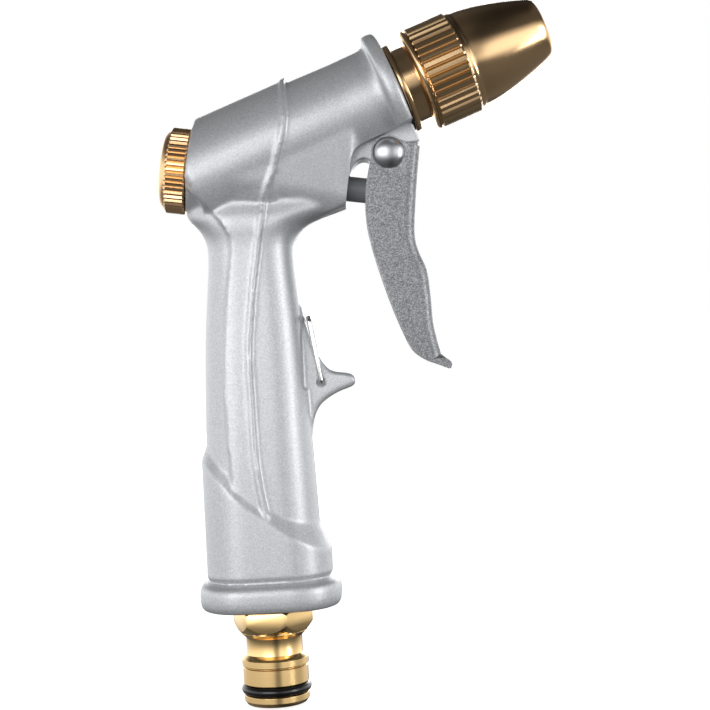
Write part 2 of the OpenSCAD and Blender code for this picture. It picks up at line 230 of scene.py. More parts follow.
def plate(name, outline, half, y=0.0):
    """An outline of (x, z) points in millimetres, made solid from y - half to y + half."""
    fresh()
    bpy.ops.mesh.primitive_plane_add(size=MM)
    piece = bpy.context.object
    piece.name = name
    edit()
    bpy.ops.mesh.select_all(action="SELECT")
    bpy.ops.mesh.merge(type="CENTER")
    bpy.ops.mesh.select_all(action="SELECT")
    bpy.ops.transform.translate(value=(outline[0][0] * MM, (y - half) * MM, outline[0][1] * MM))
    for (x, z), (x2, z2) in zip(outline, outline[1:]):
        bpy.ops.mesh.extrude_vertices_move(TRANSFORM_OT_translate={"value": ((x2 - x) * MM, 0, (z2 - z) * MM)})
    bpy.ops.mesh.select_all(action="SELECT")
    bpy.ops.mesh.edge_face_add()
    bpy.ops.mesh.extrude_region_move(TRANSFORM_OT_translate={"value": (0, 2 * half * MM, 0)})
    return tidy(piece)


def rod(name, r, length, at, tilt=0.0, sides=48):
    """A plain round cutter or shank drawn upward from a point."""
    return place(lathe(name, [(r, 0), (r, length)], sides), at, tilt)


def cross_rod(name, r, half, x, z, sides=64):
    """A round cutter or shank along y."""
    piece = lathe(name, [(r, -half), (r, half)], sides)
    only(piece)
    piece.rotation_euler.x = pi / 2
    piece.location = (x * MM, 0, z * MM)
    bpy.ops.object.transform_apply(location=True, rotation=True, scale=True)
    return piece


def curve_through(points, steps):
    """Points on a smooth curve through all the given ones."""
    out = []
    for i in range(len(points) - 1):
        a, b = points[max(i - 1, 0)], points[i]
        c, d = points[i + 1], points[min(i + 2, len(points) - 1)]
        for k in range(steps):
            u = k / steps
            out.append(tuple(
                0.5 * (2 * q + (r - p) * u + (2 * p - 5 * q + 4 * r - s) * u * u
                       + (3 * q - p - 3 * r + s) * u ** 3)
                for p, q, r, s in zip(a, b, c, d)))
    return out + [tuple(points[-1])]


# %% [markdown]
# ## The casting: its skin
# The real body is one zinc casting, so its parts melt into each other with no sharp inside
# corner. The grip, the collar, the barrel and the valve's boss are lofted or turned apart,
# joined, and remeshed into one skin, and a light smoothing rounds the edges as a mould does.

# %% Grip and collar
GRIP = curve_through([
    (30, -14.4, 12.8, 10.5), (38, -14.9, 12.8, 10.6), (46, -14.85, 12.6, 10.65), (64, -14.0, 12.0, 10.55),
    (88, -12.95, 11.3, 10.05), (107, -11.25, 9.9, 9.5), (112.5, -11.35, 10.3, 9.6), (116, -12.9, 12.9, 10.0),
    (118.3, -15.0, 18.2, 9.9), (120.2, -15.9, 22.6, 9.4), (123, -15.6, 23.2, 8.8)], 3)
grip = loft("grip", GRIP)

COLLAR = [
    (23.5, -15.6, 15.5, 11.9), (23.9, -16.5, 16.4, 12.8), (24.7, -17.1, 17.0, 13.3), (26.2, -17.3, 17.2, 13.5),
    (28.2, -17.3, 17.2, 13.5), (29.4, -17.0, 16.9, 13.2), (30.1, -16.2, 16.1, 12.6), (30.5, -14.7, 14.6, 11.6),
    (31.1, -14.6, 14.5, 11.5), (31.6, -15.35, 15.25, 12.25), (34.0, -15.3, 15.25, 12.25)]
collar = loft("collar", COLLAR)


def shoulder_height(x):
    """The collar's upper edge climbs from the front to the back of the grip."""
    u = 15.2 - x
    return 37.3 + 0.27 * u + 0.0158 * u * u


def lower_ring(level, height_of):
    """Move the flat ring at a level point by point, each left and right pair together."""
    mesh = bmesh.from_edit_mesh(bpy.context.object.data)
    for x in sorted({round(v.co.x / MM, 3) for v in mesh.verts if abs(v.co.z / MM - level) < 0.01}):
        pick(lambda v: abs(v.co.x / MM - x) < 0.002 and abs(v.co.z / MM - level) < 0.01, "VERT")
        bpy.ops.transform.translate(value=(0, 0, (height_of(x) - level) * MM))


edit(collar)
for level, squeeze_x, squeeze_y in ((134, 1.0, 1.0), (234, 0.8, 0.74)):
    pick(lambda f: abs(f.calc_center_median().z / MM - level + 100) < 0.01, "FACE")
    bpy.ops.mesh.extrude_region_move(TRANSFORM_OT_translate={"value": (0, 0, 100 * MM)})
    bpy.ops.transform.resize(value=(squeeze_x, squeeze_y, 1), center_override=(0, 0, 0))
lower_ring(134, shoulder_height)
lower_ring(234, lambda x: shoulder_height(x / 0.8) + 8)
tidy(collar)
print("grip", len(grip.data.vertices), "collar", len(collar.data.vertices))

# %% [markdown]
# ## The casting: barrel, boss and flanks
# Round parts are lathe pieces laid on the two tilted axes. Flat flanks run from the barrel's
# sides down to the boss. They are the convex hull of a short barrel and a short boss. The
# head's underside is then cut back to its curve.

# %% Head
RING_FRONT = -11.3
REAR_FACE, BOSS_FACE = 4.1, 43.3
barrel = place(lathe("barrel", [(12.6, -66), (12.6, -37.2), (12.4, -24), (12.55, -16.4), (13.3, -14.2),
                                (13.3, -12)]), nozzle_at, nozzle_tilt)
chamber = place(lathe("chamber", [(10.6, REAR_FACE), (11.0, 14), (10.8, 26)]), valve_at, valve_tilt)
boss = place(lathe("boss", [(9.6, 20), (9.5, 34), (9.2, BOSS_FACE)]), valve_at, valve_tilt)
short_barrel = place(lathe("short_barrel", [(12.45, -58), (12.2, -25)]), nozzle_at, nozzle_tilt)
short_boss = place(lathe("short_boss", [(9.4, 22), (9.0, BOSS_FACE)]), valve_at, valve_tilt)
flanks = join([short_barrel, short_boss], "flanks")
edit(flanks)
bpy.ops.mesh.select_all(action="SELECT")
bpy.ops.mesh.convex_hull()
tidy(flanks)

UNDER_HEAD = curve_through([(9.6, 106.0), (10.4, 112.5), (12.9, 116.0), (17.0, 118.0), (23.2, 120.2),
                            (24.4, 121.6)], 3) + [(30, 121.6), (30, 106)]
for piece in (flanks, boss, chamber):
    boolean(piece, plate("under_head", UNDER_HEAD, 24))
print("flanks", len(flanks.data.polygons))

# %% [markdown]
# ## The finger hook
# A thin web stands out of the grip's front, with a hook that the ring finger rests on. Its
# outline is a smooth curve, and its long edges are rounded before it joins the skin. Beside the
# web the grip is cut back, so that the bail's legs can lie there.

# %% Hook
WEB = 3.4
HOOK = curve_through([(12.0, 64.0), (12.6, 68.6), (14.6, 72.4), (18.6, 75.0), (22.3, 76.3), (23.2, 77.4),
                      (22.9, 78.9), (21.2, 79.7), (17.8, 80.3), (15.6, 82.4), (13.4, 87.0), (11.7, 92.5),
                      (11.0, 97.0)], 3)
hook = plate("hook", [(6.0, 64.0)] + HOOK + [(6.0, 97.0)], WEB)
use(hook, "BEVEL", width=0.9 * MM, segments=4, limit_method="ANGLE", angle_limit=radians(60))

# %% [markdown]
# ## One skin
# A voxel remesh turns the overlapping closed solids into a single surface with even faces. The
# Smooth modifier then relaxes it, which makes the fillets of a casting.

# %% Remesh and smooth
VOXEL = 0.46 * MM
casting = join([grip, barrel, chamber, boss, flanks], "casting")
use(casting, "REMESH", mode="VOXEL", voxel_size=VOXEL)
use(casting, "SMOOTH", factor=0.5, iterations=9)
print("skin faces", len(casting.data.polygons))

# %% [markdown]
# ## The raised panel
# Two lines run down each side. Between them the surface stands proud, with a fine bead on its
# front edge. A slightly fattened copy of the skin is cut to the panel's outline, seen from the
# side, and is joined back on. That gives the same step all over, however the skin curves.

# %% Raise the panel and the bead
LINE_REAR = curve_through([(-24.0, 134.5), (-20.5, 131.5), (-14.5, 125.4), (-9.4, 120.2), (-6.2, 116.0),
                           (-4.9, 111.0), (-6.2, 102.0), (-7.6, 91.0), (-8.3, 79.6), (-8.2, 69.3), (-7.7, 59.6),
                           (-6.9, 48.0), (-6.4, 36.0)], 4)
LINE_FRONT = curve_through([(9.4, 165.0), (9.6, 155.0), (9.9, 143.6), (9.5, 138.2), (6.8, 128.8), (4.4, 123.4),
                            (3.2, 117.0), (1.6, 108.3), (-0.3, 95.6), (-1.3, 84.6), (-1.3, 73.8), (-1.1, 63.9),
                            (-0.6, 56.0), (1.0, 45.0), (2.0, 36.0)], 4)
STEP, BEAD_STEP, BEAD_WIDE = 0.85, 1.35, 1.1


def raise_panel(skin, body, outline, height):
    """Add a layer of the fattened skin inside an outline; height in millimetres."""
    layer = copy_of(skin, "layer")
    edit(layer)
    bpy.ops.mesh.select_all(action="SELECT")
    bpy.ops.transform.shrink_fatten(value=height * MM)
    boolean(layer, plate("panel", outline, 24), "INTERSECT")
    boolean(body, layer, "UNION")


bare_skin = copy_of(casting, "bare_skin")
bead_rear = [(x - BEAD_WIDE, z) for x, z in LINE_FRONT]
raise_panel(bare_skin, casting, bead_rear + LINE_REAR[::-1] + [(-40, 134.5), (-40, 165)], STEP)
raise_panel(bare_skin, casting, LINE_FRONT + bead_rear[::-1], BEAD_STEP)
bpy.data.objects.remove(bare_skin)
boolean(casting, place(lathe("rear_trim", [(40, -20), (40, REAR_FACE)]), valve_at, valve_tilt))
for side in (-1, 1):
    recess = [(10.4, 76.0), (20, 76.0), (20, 95.5), (10.4, 94.2)]
    boolean(casting, plate("recess", recess, 6, side * (WEB + 6.0)))
print("with panel", len(casting.data.polygons))

# %% [markdown]
# ## Mouth ring, collar and hook join the skin
# They come after the first smoothing, so a second remesh and a lighter smoothing leave their
# edges crisper than the fillets are.

# %% Second skin
mouth_ring = lathe("mouth_ring", [
    (12.6, -15.0), (14.5, -14.85), (15.15, -14.4), (15.3, -13.6), (15.3, -12.4), (15.15, -11.7),
    (14.6, RING_FRONT), (12.0, RING_FRONT)])
place(mouth_ring, nozzle_at, nozzle_tilt)
casting = join([casting, collar, mouth_ring, hook], "casting")
use(casting, "REMESH", mode="VOXEL", voxel_size=VOXEL)
use(casting, "SMOOTH", factor=0.5, iterations=3)
print("second skin faces", len(casting.data.polygons))

# %% [markdown]
# ## Lug, openings and waterways
# Below the barrel's lower edge the casting steps in to a narrow lug that carries the trigger.
# The step and the openings are cut after the smoothing, so that their edges stay crisp. The
# waterways are the CAD's, because the valve's parts lie in them.

# %% Cut the step and add the lug
LUG, CHEEK = 5.0, 7.5
FRONT_EDGE = curve_through([(50, 143.4), (38.9, 139.2), (33.0, 136.75), (28.4, 134.9), (26.4, 133.7),
                            (25.3, 132.0), (24.6, 129.6), (23.2, 121.0), (22.4, 114.0)], 3)
side_step = plate("side_step", FRONT_EDGE + [(60, 114)], 24)
boolean(casting, side_step)

pin_arc = [(pivot.x + 4.0 * cos(radians(a)), pivot.z + 4.0 * sin(radians(a))) for a in range(10, -111, -12)]
ARCH = curve_through([(30.4, 129.2), (29.2, 130.9), (27.7, 131.3), (26.1, 130.5), (25.0, 129.0),
                      (24.3, 127.2)], 3)
lug = plate("lug", [(21.0, 131.5), (24.0, 137.2), (39.45, 141.4), (41.85, 135.1), (41.2, 134.65), (38.5, 134.6)]
            + pin_arc + ARCH + [(23.2, 126.7), (21.0, 126.6)], LUG)
use(lug, "BEVEL", width=0.35 * MM, segments=2, limit_method="ANGLE", angle_limit=radians(50))
boolean(casting, lug, "UNION")


# %% Open the waterways, the bores and the pin holes
def waterways():
    """Every drilled or cored space in the casting, as one solid cutter."""
    cutters = [
        rod("grip_core", 5.0, 103.5, (0, 0, 23)),
        rod("inlet_thread", 8.2, 11.7, (0, 0, 22.5)),
        rod("stem_thread", 8.0, 20, nozzle_at - 26.5 * nozzle_way, nozzle_tilt),
        rod("barrel_core", 6.0, 12, nozzle_at - 37 * nozzle_way, nozzle_tilt),
        rod("valve_bore", 6.6, 24.5, valve_at + (REAR_FACE - 1) * valve_way, valve_tilt),
        rod("front_bore", 5.0, 12.3, valve_at + 26.6 * valve_way, valve_tilt),
        rod("rod_hole", 3.25, 10, valve_at + 37.9 * valve_way, valve_tilt),
        rod("cross_port", 2.8, 11, (13.4, 0, 127)),
    ]
    whole = cutters[0]
    for cutter in cutters[1:]:
        boolean(whole, cutter, "UNION")
    return whole


boolean(casting, waterways())
boolean(casting, cross_rod("pivot_hole", 2.0, 20, pivot.x, pivot.z))
boolean(casting, cross_rod("latch_hole", 0.66, 20, latch_pin.x, latch_pin.z))
for side in (-1, 1):
    dimple = lathe("dimple", [(0.66, WEB - 0.6), (1.3, WEB - 0.2), (1.4, WEB + 2)], 32)
    only(dimple)
    dimple.rotation_euler.x = side * pi / 2
    dimple.location = (latch_pin.x * MM, 0, latch_pin.z * MM)
    bpy.ops.object.transform_apply(location=True, rotation=True, scale=True)
    boolean(casting, dimple)
only(casting)
bpy.ops.object.shade_smooth_by_angle(angle=radians(32))
print("casting faces", len(casting.data.polygons))

# %% [markdown]
# ## The trigger
# The trigger is a thin casting with a U section: a rounded front wall between two flat cheeks.
# Its side outline is drawn point by point, the front's long edges get a wide bevel, and a
# second, smaller outline is cut out of the back to leave the walls.

# %% Trigger
TRIGGER_FRONT = curve_through([(41.75, 133.4), (41.0, 128.3), (40.0, 120.0), (39.4, 112.5), (40.2, 108.0),
                               (41.9, 103.5), (42.5, 97.0), (42.7, 91.0), (43.6, 86.0)], 4)
TRIGGER_LIP = [(44.3, 83.2), (45.4, 82.1), (46.4, 81.3), (46.7, 80.5), (46.4, 79.6), (45.8, 79.5), (44.0, 80.3)]
TRIGGER_REAR = curve_through([(41.0, 81.5), (38.2, 83.6), (36.3, 86.9), (32.6, 96.9), (29.2, 109.0), (27.9, 117.0),
                              (28.2, 124.5), (29.8, 131.5)], 4)
trigger_top = [(pivot.x + 4.2 * cos(radians(a)), pivot.z + 4.2 * sin(radians(a))) for a in range(166, 44, -12)]
trigger = plate("trigger_lever", TRIGGER_FRONT + TRIGGER_LIP + TRIGGER_REAR + trigger_top, CHEEK)
edit(trigger)
front_points = TRIGGER_FRONT + TRIGGER_LIP[:2]


def on_front(edge):
    """Is the edge one of the front outline's, on either cheek?"""
    a, b = (v.co / MM for v in edge.verts)
    return (abs(a.y - b.y) < 0.01
            and all(min(hypot(p.x - x, p.z - z) for x, z in front_points) < 0.02 for p in (a, b)))


print("front edges", pick(on_front, "EDGE"))
bpy.ops.mesh.bevel(offset=2.3 * MM, segments=7, affect="EDGES")
fresh()
WALL = 2.1
cavity = plate("cavity", [(20, 138), (41.75 - WALL, 138)]
               + [(x - WALL, z) for x, z in TRIGGER_FRONT if z > 88] + [(39.0, 86.5), (20, 86.5)], LUG + 0.3)
boolean(trigger, cavity)
boolean(trigger, cross_rod("pivot_hole", 2.06, 20, pivot.x, pivot.z))
use(trigger, "BEVEL", width=0.3 * MM, segments=2, limit_method="ANGLE", angle_limit=radians(50))
tidy(trigger, 35)
print("trigger faces", len(trigger.data.polygons))

# %% [markdown]
# ## Turned brass
# The twist sleeve, the rear knob, the stem and the inlet plug are all turned from brass bar.
# A lathe piece gives their true profile. A straight knurl is made by picking one column of
# points in every few, all the way round, and pulling them toward the axis.


# %% Knurl
def knurl(piece, teeth, per_tooth, r_tip, shape):
    """Sink columns of the band at the tip radius; shape gives depths by column in millimetres."""
    edit(piece)
    for column, depth in shape.items():
        def in_groove(v):
            r = hypot(v.co.x, v.co.y) / MM
            step = round(atan2(v.co.y, v.co.x) / tau * teeth * per_tooth)
            return abs(r - r_tip) < 0.05 and step % per_tooth == column
        pick(in_groove, "VERT")
        k = (r_tip - depth) / r_tip
        bpy.ops.transform.resize(value=(k, k, 1), center_override=(0, 0, 0))
    fresh()
    return piece


def bullet_r(t):
    return 11.9 - 4.3 * ((t - 8.5) / 18) ** 1.5


SLEEVE_R, SLEEVE_TEETH, PER_TOOTH = 12.8, 40, 8
sleeve_profile = [
    (9.46, -5.7), (9.7, -5.9), (11.6, -5.9), (12.25, -5.6), (12.62, -5.2), (12.72, -4.9), (12.7, -4.65),
    (12.35, -4.5), (12.25, -4.35), (12.35, -4.2), (12.8, -3.95), (12.8, -3.5), (12.8, 5.6), (12.8, 5.9),
    (12.3, 6.35), (12.22, 6.5), (12.2, 7.1), (12.12, 7.35), (11.98, 7.6), (11.93, 8.0)]
sleeve_profile += [(bullet_r(t), t) for t in [8.5 + 1.5 * k for k in range(13)]]
sleeve_profile += [(7.35, 26.9), (7.1, 27.3), (6.7, 27.55), (6.2, 27.65), (4.0, 27.65), (3.8, 27.45), (2.6, 25.2),
                   (2.6, 23.6), (3.8, 22.6), (7.6, 17.5), (7.6, 11.4), (7.06, 11.4), (7.06, 9.5), (8.6, 9.5),
                   (8.6, 7.3), (7.06, 7.3), (7.06, 5.2), (9.46, 5.2), (9.46, -5.7)]
sleeve = lathe("twist_sleeve", sleeve_profile, SLEEVE_TEETH * PER_TOOTH)
knurl(sleeve, SLEEVE_TEETH, PER_TOOTH, SLEEVE_R, {0: 0.55, 1: 0.25, 7: 0.25})
place(tidy(sleeve, 40), nozzle_at, nozzle_tilt)
print("sleeve faces", len(sleeve.data.polygons))

# %% Rear knob
KNOB_R, KNOB_TEETH = 10.5, 52
knob = lathe("flow_knob", [
    (0.6, -3.42), (3.0, -3.38), (5.4, -3.22), (7.4, -2.9), (8.7, -2.45), (9.1, -2.2), (9.75, -1.45), (9.95, -1.2),
    (10.5, -0.8), (10.5, -0.4), (10.5, 3.1), (10.5, 3.4), (10.1, 3.8), (9.7, 3.9), (3.6, 3.9), (3.6, 6.1),
    (2.5, 6.1), (2.5, 12.4), (2.0, 12.9)], KNOB_TEETH * 6)
knurl(knob, KNOB_TEETH, 6, KNOB_R, {0: 0.4, 1: 0.2, 5: 0.2})
place(tidy(knob, 40), valve_at, valve_tilt)
print("knob faces", len(knob.data.polygons))

# %% Stem, with its collar and threaded neck
stem = lathe("nozzle_stem", [
    (4.2, -26.5), (7.6, -26.5), (8.0, -26.1), (8.0, -10.8), (10.9, -10.8), (11.15, -10.7), (11.2, -10.5),
    (11.2, -9.6), (11.1, -9.4), (10.85, -9.3), (9.55, -9.3), (9.4, -9.15), (9.4, 0.4), (7.0, 1.6), (7.0, 11.7),
    (6.7, 12.0), (1.4, 12.0), (1.4, 9.0), (4.2, 9.0), (4.2, -26.5)])
for k in range(6):
    hole = rod("jet_hole", 0.8, 6, (3.3 * cos(k * tau / 6), 3.3 * sin(k * tau / 6), 8), 0, 24)
    boolean(stem, hole)
place(tidy(stem), nozzle_at, nozzle_tilt)

# %% [markdown]
# ## The inlet
# The plug has a lead-in chamfer, a land, an O-ring groove, a collar, a locking waist and a
# coned shoulder under a hexagon. The hexagon's round corners come from turning: a hexagonal
# bar is cut back by a cone, which leaves an arc on every flat.

# %% Inlet plug
HEX_BASE, HEX_TOP = 16.3, 23.0
plug = lathe("inlet_plug", [
    (4.4, 0.9), (5.2, 0.0), (7.1, 0.0), (7.3, 0.1), (7.97, 1.0), (7.97, 2.35), (7.87, 2.45), (6.2, 2.45),
    (6.2, 5.1), (7.9, 5.1), (8.0, 5.2), (8.0, 9.0), (7.9, 9.15), (7.72, 9.25), (7.72, 9.4), (8.05, 9.45),
    (8.16, 9.6), (8.16, 11.1), (8.0, 11.35), (7.3, 11.9), (6.95, 12.2), (6.88, 12.5), (6.88, 16.1), (6.95, 16.4),
    (8.15, 17.5), (8.2, 22.6), (8.2, 34.0), (4.4, 34.0), (4.4, 0.9)])
hexagon = rod("hexagon", 17.1 / 2 / cos(pi / 6), HEX_TOP - HEX_BASE, (0, 0, HEX_BASE), 0, 6)
only(hexagon)
hexagon.rotation_euler.z = radians(22)
bpy.ops.object.transform_apply(location=True, rotation=True, scale=True)
turned_limit = lathe("turned_limit", [(6.7, 16.35), (6.9, 16.4), (8.8, 18.4), (9.9, 19.9),
                                      (9.9, 22.4), (9.3, 23.0)])
boolean(hexagon, turned_limit, "INTERSECT")
boolean(hexagon, rod("hex_bore", 8.0, 10, (0, 0, 15)))
boolean(plug, hexagon, "UNION")
use(plug, "BEVEL", width=0.12 * MM, segments=2, limit_method="ANGLE", angle_limit=radians(35))
tidy(plug, 35)
print("plug faces", len(plug.data.polygons))


# %% O-ring
def torus(name, outer, section, at, tilt=0.0):
    """A rubber ring: a torus stretched a touch, as a ring is when it is pulled into its groove."""
    fresh()
    bpy.ops.mesh.primitive_torus_add(major_radius=(outer - section) * MM, minor_radius=section * MM,
                                     major_segments=96, minor_segments=24)
    ring = bpy.context.object
    ring.name = name
    edit()
    pick(lambda v: hypot(v.co.x, v.co.y) < (outer - 1.5 * section) * MM, "VERT")
    bpy.ops.transform.resize(value=(1.015, 1.015, 0.97), center_override=(0, 0, 0))
    return place(tidy(ring, 60), at, tilt)


inlet_ring = torus("plug_o_ring", 8.54, 1.17, (0, 0, 3.75))

# %% [markdown]
# ## Rivet, pushrod and bail
# The rivet's heads are polished domes. The pushrod is a plain moulded rod with a domed end. The
# bail is one bent wire, so it is straight runs joined by short arcs.

# %% Rivet
def rivet_head(side):
    head = lathe("head", [(3.8, 7.6), (3.8, 7.75), (3.72, 7.95), (3.4, 8.3), (2.9, 8.66), (2.3, 8.95),
                          (1.6, 9.16), (0.8, 9.28), (0.3, 9.3)], 64)
    only(head)
    head.rotation_euler.x = side * pi / 2
    head.location = (pivot.x * MM, 0, pivot.z * MM)
    bpy.ops.object.transform_apply(location=True, rotation=True, scale=True)
    return head


rivet = cross_rod("rivet", 2.0, 7.9, pivot.x, pivot.z)
for side in (-1, 1):
    boolean(rivet, rivet_head(side), "UNION")
tidy(rivet, 50)

# %% Pushrod
push = lathe("push_rod", [(3.05, 32.0), (3.05, 54.4), (3.0, 55.0), (2.7, 55.7), (2.1, 56.15), (1.3, 56.38),
                          (0.4, 56.5)], 64)
boolean(push, rod("stem_socket", 1.5, 4, (0, 0, 31)))
place(tidy(push, 50), valve_at, valve_tilt)


# %% Bail
def bent_wire(name, path, r, sides=20):
    """A round wire: a ring is pulled along the points and kept square to the way it goes."""
    fresh()
    way = (Vector(path[1]) - Vector(path[0])).normalized()
    bpy.ops.mesh.primitive_circle_add(vertices=sides, radius=r * MM, fill_type="NGON")
    wire = bpy.context.object
    wire.name = name
    wire.rotation_mode = "QUATERNION"
    wire.rotation_quaternion = Vector((0, 0, 1)).rotation_difference(way)
    wire.location = Vector(path[0]) * MM
    bpy.ops.object.transform_apply(location=True, rotation=True, scale=True)
    edit()
    bpy.ops.mesh.select_all(action="SELECT")
    for k in range(1, len(path)):
        here, before = Vector(path[k]), Vector(path[k - 1])
        after = Vector(path[min(k + 1, len(path) - 1)])
        ways = [(q - p).normalized() for p, q in ((before, here), (here, after)) if (q - p).length > 0]
        new_way = sum(ways, Vector()).normalized()
        bpy.ops.mesh.extrude_region_move(TRANSFORM_OT_translate={"value": (here - before) * MM})
        turn = way.rotation_difference(new_way)
        if turn.angle > 1e-4:
            turned = turn.to_matrix()
            mesh = bmesh.from_edit_mesh(wire.data)
            bmesh.ops.rotate(mesh, cent=here * MM, matrix=turned, verts=[v for v in mesh.verts if v.select])
            bmesh.update_edit_mesh(wire.data)
        way = new_way
    fresh()
    wire.rotation_mode = "XYZ"
    return tidy(wire, 50)


LEG_Y, LEG, BEND = 4.3, 16.0, 1.4
corner = [(BEND * (1 - cos(a)), BEND * sin(a)) for a in (k * pi / 12 for k in range(1, 6))]
half_path = [(0, -1.0, 0), (0, -LEG_Y + BEND / 2, 0)]
half_path += [(0, -LEG_Y + BEND / 2 * (1 - sin(a)), BEND / 2 * (1 - cos(a)))
              for a in (k * pi / 10 for k in range(1, 6))]
half_path += [(0, -LEG_Y, 6), (0, -LEG_Y, LEG - BEND)]
half_path += [(0, -LEG_Y + u, LEG - BEND + v) for u, v in corner] + [(0, -LEG_Y + BEND, LEG), (0, 0, LEG)]
bail_path = half_path + [(x, -y, z) for x, y, z in half_path[-2::-1]]
BAIL_LEAN = radians(-8.3)
bail = place(bent_wire("wire_bail", bail_path, 0.6), latch_pin, BAIL_LEAN)
print("bail faces", len(bail.data.polygons))

# %% [markdown]
# ## Finishes
# Every material starts from the real one. Colours are written as sRGB hex and turned to linear
# light by one function, and one helper adds a node with its settings and links.


# %% Colour and node helpers
def srgb(text, alpha=1.0):
    """'#rrggbb' as linear red, green, blue and alpha."""
    parts = [int(text[i:i + 2], 16) / 255 for i in (1, 3, 5)]
    return tuple(c / 12.92 if c <= 0.04045 else ((c + 0.055) / 1.055) ** 2.4 for c in parts) + (alpha,)


def add_node(tree, kind, settings=None, stops=(), **inputs):
    """Add a node. Settings are its own properties, and stops are for a colour ramp: each is a
    position with a hex colour or a grey level. Inputs are values, colours or another node's
    output sockets: `_0` is the first socket, and a double underscore stands for a space."""
    node = tree.nodes.new(kind)
    for key, value in (settings or {}).items():
        setattr(node, key, value)
    for k, (position, tone) in enumerate(stops):
        elements = node.color_ramp.elements
        while len(elements) < len(stops):
            elements.new(0.5)
        elements[k].position = position
        elements[k].color = srgb(tone) if isinstance(tone, str) else (tone, tone, tone, 1)
    for key, value in inputs.items():
        socket = node.inputs[int(key[1:]) if key[0] == "_" else key.replace("__", " ")]
        if isinstance(value, bpy.types.NodeSocket):
            tree.links.new(value, socket)
        else:
            socket.default_value = value
    return node


def finish(name, **shader):
    """A material with one Principled shader; returns the material, its tree and the shader."""
    material = bpy.data.materials.new(name)
    material.use_nodes = True
    tree = material.node_tree
    tree.nodes.clear()
    surface = add_node(tree, "ShaderNodeBsdfPrincipled", **shader)
    add_node(tree, "ShaderNodeOutputMaterial", Surface=surface.outputs[0])
    return material, tree, surface


def per_metre(size_mm):
    """A texture scale that makes one cell this many millimetres."""
    return 1 / (size_mm * MM)


# %% [markdown]
# Silver sparkle paint is clear lacquer over aluminium flakes. Each flake lies at its own slight
# tilt, so some are bright and some dark. Voronoi cells stand for the flakes: their random value
# changes the colour and the height. Real flakes are under 0.1 mm. They are drawn coarser so
# that they show.

# %% Sparkle paint
def sparkle_paint(name, dark, mid, light, flake_mm, roughness, bump):
    material, tree, surface = finish(name, Metallic=0.5, Roughness=roughness)
    here = add_node(tree, "ShaderNodeTexCoord").outputs["Object"]
    flakes = add_node(tree, "ShaderNodeTexVoronoi", Vector=here, Scale=per_metre(flake_mm))
    value = add_node(tree, "ShaderNodeSeparateColor", Color=flakes.outputs["Color"])
    cloud = add_node(tree, "ShaderNodeTexNoise", Vector=here, Scale=per_metre(flake_mm * 3.1), Detail=3.0)
    single = add_node(tree, "ShaderNodeMath", {"operation": "MULTIPLY"}, _0=value.outputs[0], _1=0.6)
    both = add_node(tree, "ShaderNodeMath", {"operation": "MULTIPLY_ADD"},
                    _0=cloud.outputs["Fac"], _1=0.4, _2=single.outputs[0])
    tones = add_node(tree, "ShaderNodeValToRGB", stops=[(0.2, dark), (0.5, mid), (0.8, light)],
                     Fac=both.outputs[0])
    tree.links.new(tones.outputs["Color"], surface.inputs["Base Color"])
    relief = add_node(tree, "ShaderNodeBump", Height=both.outputs[0], Strength=bump, Distance=0.03 * MM)
    tree.links.new(relief.outputs["Normal"], surface.inputs["Normal"])
    return material


body_paint = sparkle_paint("silver_sparkle_paint", "#b4b6ba", "#c3c5c8", "#d3d5d8", 0.16, 0.44, 0.08)
trigger_paint = sparkle_paint("coarse_silver_paint", "#626366", "#828386", "#a8a9ac", 0.2, 0.42, 0.12)


# %% [markdown]
# Turned and polished brass keeps very fine rings from the lathe, square to its axis. A pattern
# that reads only the distance along the axis makes them. Real rings are under 0.1 mm apart.
# They are drawn at 0.3 to 0.5 mm so that they show, as soft bands in the shine.

# %% Brass and steel
def turned_metal(name, colour, roughness, way, pitch_mm, marks):
    """Polished metal with lathe marks across a given axis."""
    material, tree, surface = finish(name, Metallic=1.0, Roughness=roughness)
    surface.inputs["Base Color"].default_value = srgb(colour)
    here = add_node(tree, "ShaderNodeTexCoord").outputs["Object"]
    along = add_node(tree, "ShaderNodeVectorMath", {"operation": "DOT_PRODUCT"}, _0=here, _1=tuple(way))
    rings = add_node(tree, "ShaderNodeTexNoise", {"noise_dimensions": "1D"},
                     W=along.outputs["Value"], Scale=per_metre(pitch_mm), Detail=4.0, Roughness=0.6)
    haze = add_node(tree, "ShaderNodeTexNoise", Vector=here, Scale=per_metre(6), Detail=5.0)
    rough = add_node(tree, "ShaderNodeMapRange", Value=haze.outputs["Fac"])
    rough.inputs["To Min"].default_value = roughness * 0.75
    rough.inputs["To Max"].default_value = roughness * 1.35
    tree.links.new(rough.outputs["Result"], surface.inputs["Roughness"])
    relief = add_node(tree, "ShaderNodeBump", Height=rings.outputs["Fac"], Strength=marks, Distance=0.01 * MM)
    tree.links.new(relief.outputs["Normal"], surface.inputs["Normal"])
    return material


nozzle_brass = turned_metal("polished_turned_brass", "#dcb98c", 0.18, nozzle_way, 0.35, 0.35)
knob_brass = turned_metal("knob_turned_brass", "#e0b98c", 0.22, valve_way, 0.35, 0.35)
plug_brass = turned_metal("plug_turned_brass", "#e6c48a", 0.18, (0, 0, 1), 0.3, 0.3)
rivet_steel = turned_metal("polished_rivet_steel", "#b4b5b8", 0.3, (0, 1, 0), 0.5, 0.1)
wire_steel = turned_metal("drawn_steel_wire", "#d6d6d6", 0.2, (1, 0, 0), 0.4, 0.2)


# %% [markdown]
# Rubber rings are greased when they are fitted, so they shine softly. The pushrod is moulded
# acetal, with the fine matt grain of its mould. The floor is plain matt paper. It glows a
# little, so that it stays white as far back as the eye sees.

